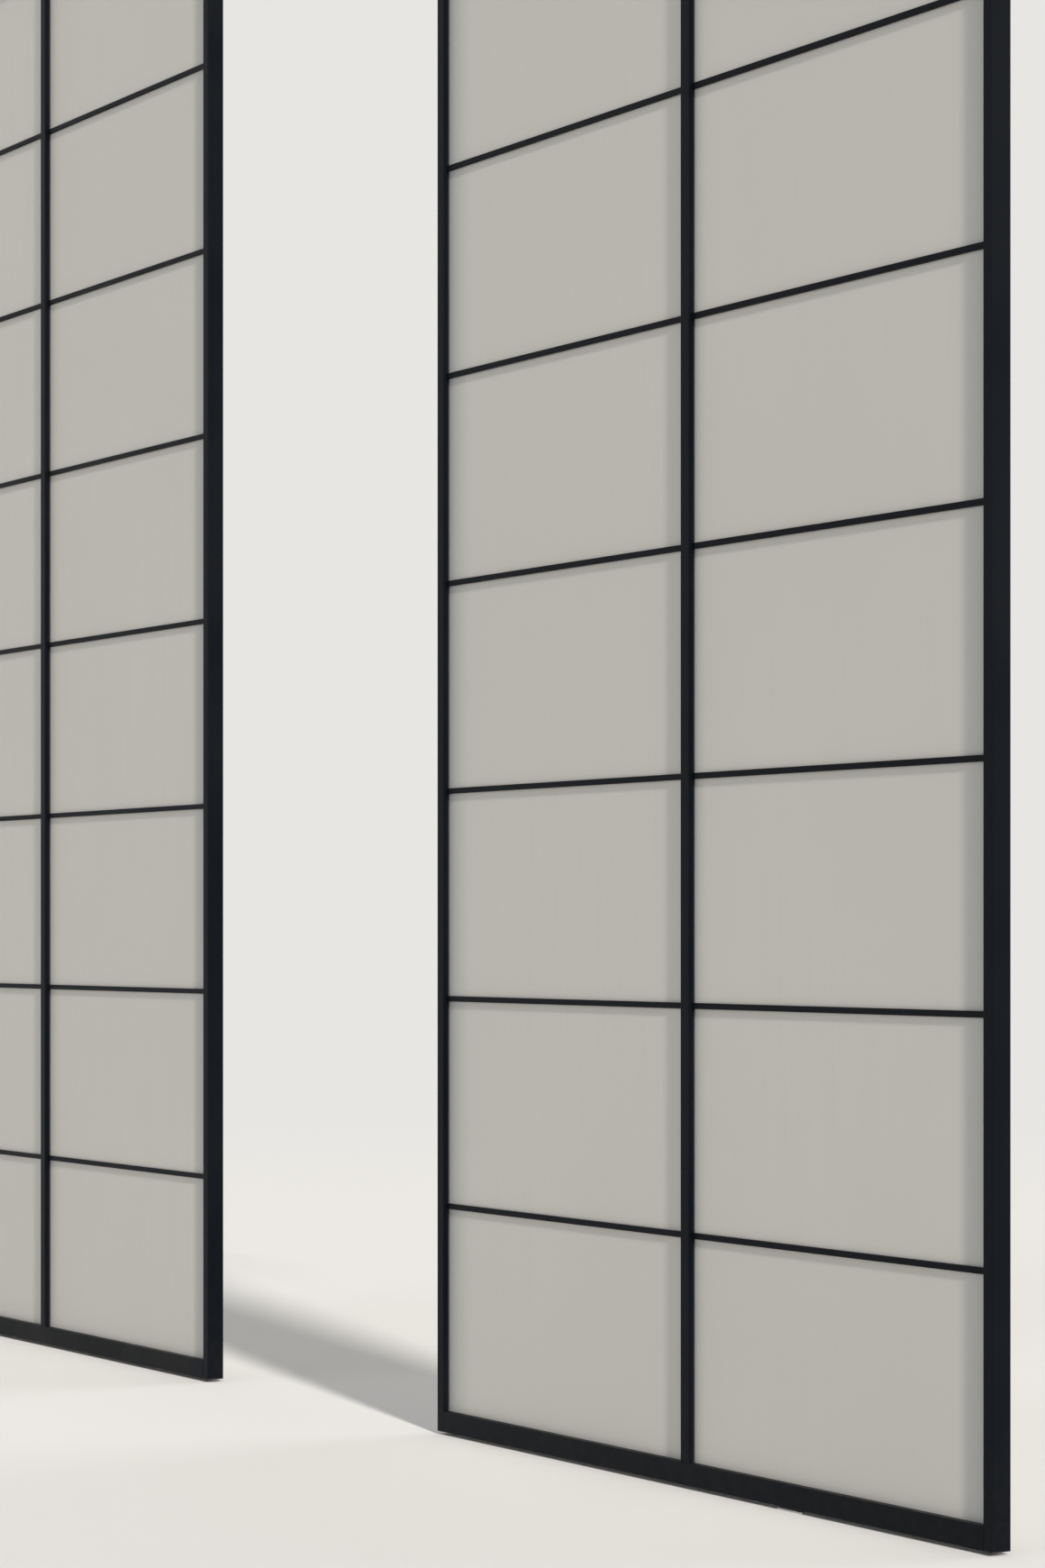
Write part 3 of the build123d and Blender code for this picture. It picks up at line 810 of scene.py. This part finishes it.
@dataclass
class HangingGear:
    """The bolts, nuts and bearings that carry one panel."""

    side: Side
    panel_centre: float = PANEL_CENTRE
    carriage_reach: float = 0.648
    axle_reach: float = 0.034
    bead_reach: float = 0.0125
    axle_height: float = 3.3053
    bolt_radius: float = 0.005
    thread_pitch: float = 0.0015
    bolt_foot: float = 3.2649
    bolt_neck: float = 3.3133
    bolt_top: float = 3.3197
    across_flats: float = 0.017
    nut_foot: float = 3.2755
    nut_top: float = 3.2815
    chamfer: float = 0.0012
    head_overlap: float = 0.0005
    thread_fit: float = 0.0001
    drill_overrun: float = 0.001
    bearing_bore: float = 0.00255
    bearing_radius: float = 0.008
    bearing_width: float = 0.005
    bearing_edge: float = 0.0002
    inner_ring_radius: float = 0.0039
    outer_ring_bore: float = 0.0069
    shield_sink: float = 0.0003
    shield_slope: float = 0.0001

    @property
    def carriages(self) -> list[Vector]:
        """Places of the two carriages along the track."""
        middle = self.side.value * self.panel_centre
        return [Vector((middle + end * self.carriage_reach, 0, 0)) for end in (-1, 1)]

    def bolts(self, paint: Paint) -> None:
        """Model the threaded hanger bolts with their hexagonal heads.

        Args:
            paint: the materials.
        """
        thread_end = self.bolt_neck + self.head_overlap
        bolt = threaded_rod(self.bolt_radius, self.thread_pitch, self.bolt_foot, thread_end)
        head = hexagonal_blank(self.across_flats, self.bolt_neck, self.bolt_top, self.chamfer)
        combine(bolt, head, "UNION")
        piece = place_copies(bolt, self.carriages)
        finish_piece(piece, self.side.piece("threaded_hanger_bolts"), self.side.body, Slot.STEEL, paint,
                     self.side.node("hanger_bolts"))

    def nuts(self, paint: Paint) -> None:
        """Model the chamfered lock nuts.

        Args:
            paint: the materials.
        """
        nut = hexagonal_blank(self.across_flats, self.nut_foot, self.nut_top, self.chamfer)
        bore = self.bolt_radius + self.thread_fit
        low = self.nut_foot - self.drill_overrun
        high = self.nut_top + self.drill_overrun
        drill = turn_on_lathe([(0, low), (bore, low), (bore, high), (0, high)])
        combine(nut, drill, "DIFFERENCE")
        piece = place_copies(nut, self.carriages)
        finish_piece(piece, self.side.piece("chamfered_lock_nuts"), self.side.body, Slot.STEEL, paint,
                     self.side.node("lock_nuts"))

    def bearings(self, paint: Paint) -> None:
        """Model the bearings with rings, chamfers and sunk shields.

        Args:
            paint: the materials.
        """
        half = self.bearing_width / 2
        shield = half - self.shield_sink
        face = [
            (self.bearing_bore, -half),
            (self.inner_ring_radius, -half),
            (self.inner_ring_radius + self.shield_slope, -shield),
            (self.outer_ring_bore - self.shield_slope, -shield),
            (self.outer_ring_bore, -half),
            (self.bearing_radius - self.bearing_edge, -half),
            (self.bearing_radius, -half + self.bearing_edge),
        ]
        outline = face + [(radius, -height) for radius, height in reversed(face)]
        bearing = turn_on_lathe(outline, closed=True)
        places = [
            carriage + Vector((axle * self.axle_reach, bead * self.bead_reach, self.axle_height))
            for carriage in self.carriages for axle in (-1, 1) for bead in (-1, 1)
        ]
        piece = place_copies(bearing, places, (math.pi / 2, 0.0, 0.0))
        finish_piece(piece, self.side.piece("shielded_bearings"), self.side.body, Slot.STEEL, paint,
                     self.side.node("wheel_bearings"))

    def build(self, paint: Paint) -> None:
        """Model the bolts, the nuts and the bearings.

        Args:
            paint: the materials.
        """
        self.bolts(paint)
        self.nuts(paint)
        self.bearings(paint)


# A buffer's outline from its base to its tip, in shares of its radius and of its length
BUFFER_OUTLINE = (
    (1.00, 0.00), (1.00, 0.30), (0.90, 0.38), (0.90, 0.46), (1.00, 0.54), (1.00, 0.70), (0.93, 0.84),
    (0.78, 0.94), (0.55, 0.99), (0.00, 1.00),
)


@dataclass
class TrackStops:
    """The clamp screws and the rubber buffers of the four stops in the head track."""

    inner: float = 0.1057
    outer: float = 3.1013
    screw_radius: float = 0.004
    thread_pitch: float = 0.00125
    screw_foot: float = 3.2915
    screw_top: float = 3.3260
    socket_radius: float = 0.0023
    socket_depth: float = 0.004
    buffer_height: float = 3.3035
    buffer_radius: float = 0.007
    buffer_length: float = 0.010
    stem_radius: float = 0.003
    stem_length: float = 0.006
    block_reach: float = 0.015

    def screws(self, paint: Paint) -> None:
        """Model the threaded clamp screws with a hexagonal socket in each foot.

        Args:
            paint: the materials.
        """
        screw = threaded_rod(self.screw_radius, self.thread_pitch, self.screw_foot, self.screw_top)
        start_clean()
        bpy.ops.mesh.primitive_cylinder_add(
            vertices=6, radius=self.socket_radius, depth=2 * self.socket_depth,
            location=(0, 0, self.screw_foot),
        )
        socket = bpy.context.object
        settle(socket)
        combine(screw, socket, "DIFFERENCE")
        places = [Vector((sign * reach, 0, 0)) for reach in (self.inner, self.outer) for sign in (-1, 1)]
        piece = place_copies(screw, places)
        finish_piece(piece, "threaded_stop_screws", "frame", Slot.STEEL, paint, "stop_screws")

    def buffers(self, paint: Paint) -> None:
        """Model the domed buffers, each with a stem in its block and a ring groove behind the dome.

        Args:
            paint: the materials.
        """
        stem = [(0, -self.stem_length), (self.stem_radius, -self.stem_length), (self.stem_radius, 0)]
        dome = [(wide * self.buffer_radius, far * self.buffer_length) for wide, far in BUFFER_OUTLINE]
        facing_right = (self.inner + self.block_reach, -self.outer + self.block_reach)
        pieces = []
        for sign in (1, -1):
            places = [Vector((sign * reach, 0, self.buffer_height)) for reach in facing_right]
            turn = (0.0, sign * math.pi / 2, 0.0)
            pieces.append(place_copies(turn_on_lathe(stem + dome), places, turn))
        piece = join_pieces(pieces)
        finish_piece(piece, "ribbed_stop_buffers", "frame", Slot.GASKET_RUBBER, paint, "stop_buffers")

    def build(self, paint: Paint) -> None:
        """Model the screws and the buffers."""
        self.screws(paint)
        self.buffers(paint)


# Studio

@dataclass(frozen=True)
class Lamp:
    """One far soft light.

    Its softness is the angle that it fills, in degrees. Its level is what a white face turned to it sends
    back.
    """

    name: str
    from_side: Point
    colour: Colour
    softness: float
    level: float

    def build(self) -> None:
        """Add the light, turned so that it comes from its side."""
        data = bpy.data.lights.new(self.name, "SUN")
        data.angle = math.radians(self.softness)
        data.energy = self.level * math.pi
        data.color = self.colour
        lamp = bpy.data.objects.new(self.name, data)
        lamp.rotation_euler = Vector(self.from_side).to_track_quat("Z", "Y").to_euler()
        bpy.context.scene.collection.objects.link(lamp)


@dataclass
class Studio:
    """The floor, the world, the lights and the camera."""

    pale: Colour = (0.80, 0.79, 0.77)
    floor_radius: float = 70.0
    floor_sides: int = 96
    floor_roughness: float = 0.7
    fade_start: float = 4.0
    fade_end: float = 14.0
    ambient: float = 0.36
    camera_place: Point = (6.512, -3.6892, 0.9703)
    camera_azimuth: float = 57.366
    lens: float = 83.95
    sensor: float = 36.0
    rise: float = 0.09405
    lamps: tuple[Lamp, ...] = (
        Lamp("key_from_the_right", (0.94, -0.20, 0.52), (1.0, 0.97, 0.92), softness=4.0, level=1.10),
        Lamp("fill_from_the_front", (-0.15, -0.80, 0.25), (0.96, 0.98, 1.0), softness=40.0, level=0.14),
        Lamp("fill_from_behind", (0.10, 0.80, 0.20), (1.0, 0.99, 0.97), softness=40.0, level=0.34),
        Lamp("fill_from_the_left", (-0.90, 0.10, 0.42), (0.97, 0.98, 1.0), softness=30.0, level=0.10),
    )

    def pale_where_seen(self, sheet: Sheet) -> bpy.types.NodeSocket:
        """Mask of the rays that should see the plain pale background.

        Args:
            sheet: the tree that gets the nodes.

        Returns:
            An output that is 1 for camera, glossy and transmission rays.
        """
        rays = sheet.add("LightPath")
        mask = rays.outputs["Is Camera Ray"]
        for name in ("Is Glossy Ray", "Is Transmission Ray"):
            most = sheet.add("Math", operation="MAXIMUM")
            sheet.join(mask, most.inputs[0])
            sheet.join(rays.outputs[name], most.inputs[1])
            mask = most.outputs[0]
        return mask

    def world(self) -> None:
        """Light the scene evenly, and show a plain pale background."""
        world = bpy.data.worlds.new("pale_studio")
        world.use_nodes = True
        sheet = Sheet(world.node_tree)
        world.node_tree.nodes.clear()
        shown = sheet.add("Background")
        shown.inputs["Color"].default_value = (*self.pale, 1)
        light = sheet.add("Background")
        light.inputs["Color"].default_value = (1, 1, 1, 1)
        light.inputs["Strength"].default_value = self.ambient
        mixed = sheet.add("MixShader")
        sheet.join(self.pale_where_seen(sheet), mixed.inputs[0])
        sheet.join(light.outputs[0], mixed.inputs[1])
        sheet.join(shown.outputs[0], mixed.inputs[2])
        sheet.join(mixed.outputs[0], sheet.add("OutputWorld").inputs["Surface"])
        bpy.context.scene.world = world

    def floor(self) -> None:
        """Lay a pale round floor that fades into the background far from the panels."""
        start_clean()
        bpy.ops.mesh.primitive_circle_add(
            vertices=self.floor_sides, radius=self.floor_radius, fill_type="NGON",
        )
        floor = bpy.context.object
        floor.name = "studio_floor"
        material = bpy.data.materials.new("pale_floor")
        material.use_nodes = True
        sheet = Sheet(material.node_tree)
        shader = material.node_tree.nodes["Principled BSDF"]
        shader.inputs["Base Color"].default_value = (*self.pale, 1)
        shader.inputs["Roughness"].default_value = self.floor_roughness
        shader.inputs["Specular IOR Level"].default_value = 0.0
        reach = sheet.add("VectorMath", operation="LENGTH")
        sheet.join(sheet.add("TexCoord").outputs["Object"], reach.inputs[0])
        far = sheet.ramp(reach.outputs["Value"], self.fade_start, self.fade_end, 0.0, 1.0)
        glow = sheet.add("Emission")
        glow.inputs["Color"].default_value = (*self.pale, 1)
        mixed = sheet.add("MixShader")
        sheet.join(sheet.multiply(far, self.pale_where_seen(sheet)), mixed.inputs[0])
        sheet.join(shader.outputs[0], mixed.inputs[1])
        sheet.join(glow.outputs[0], mixed.inputs[2])
        sheet.join(mixed.outputs[0], material.node_tree.nodes["Material Output"].inputs["Surface"])
        floor.data.materials.append(material)

    def camera(self) -> None:
        """Stand the camera where the photograph was taken from, level, with the lens raised."""
        data = bpy.data.cameras.new("camera")
        data.sensor_fit = "VERTICAL"
        data.sensor_width = self.sensor
        data.sensor_height = self.sensor
        data.lens = self.lens
        data.shift_y = self.rise
        camera = bpy.data.objects.new("camera", data)
        camera.location = self.camera_place
        camera.rotation_euler = (math.pi / 2, 0, math.radians(self.camera_azimuth))
        bpy.context.scene.collection.objects.link(camera)
        bpy.context.scene.camera = camera

    def build(self) -> None:
        """Set up the whole studio."""
        bpy.context.scene.view_settings.view_transform = "Standard"
        self.camera()
        self.world()
        self.floor()
        for lamp in self.lamps:
            lamp.build()
        log.info("studio: %d lamps", len(self.lamps))


def dress_nodes(paint: Paint) -> None:
    """Give every CAD node the finish of its slot in the record.

    Args:
        paint: the materials.
    """
    for part in frame["record"]["subparts"]:
        paint.coat(frame["nodes"][part["node"]], Slot(part["material_slot"]))


def main() -> None:
    """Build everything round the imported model."""
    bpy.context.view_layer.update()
    studio = Studio()
    studio.build()
    paint = Paint()
    dress_nodes(paint)
    for side in Side:
        Glazing(side).build(paint)
        HangingGear(side).build(paint)
    TrackStops().build(paint)


if __name__ == "__main__":
    main()
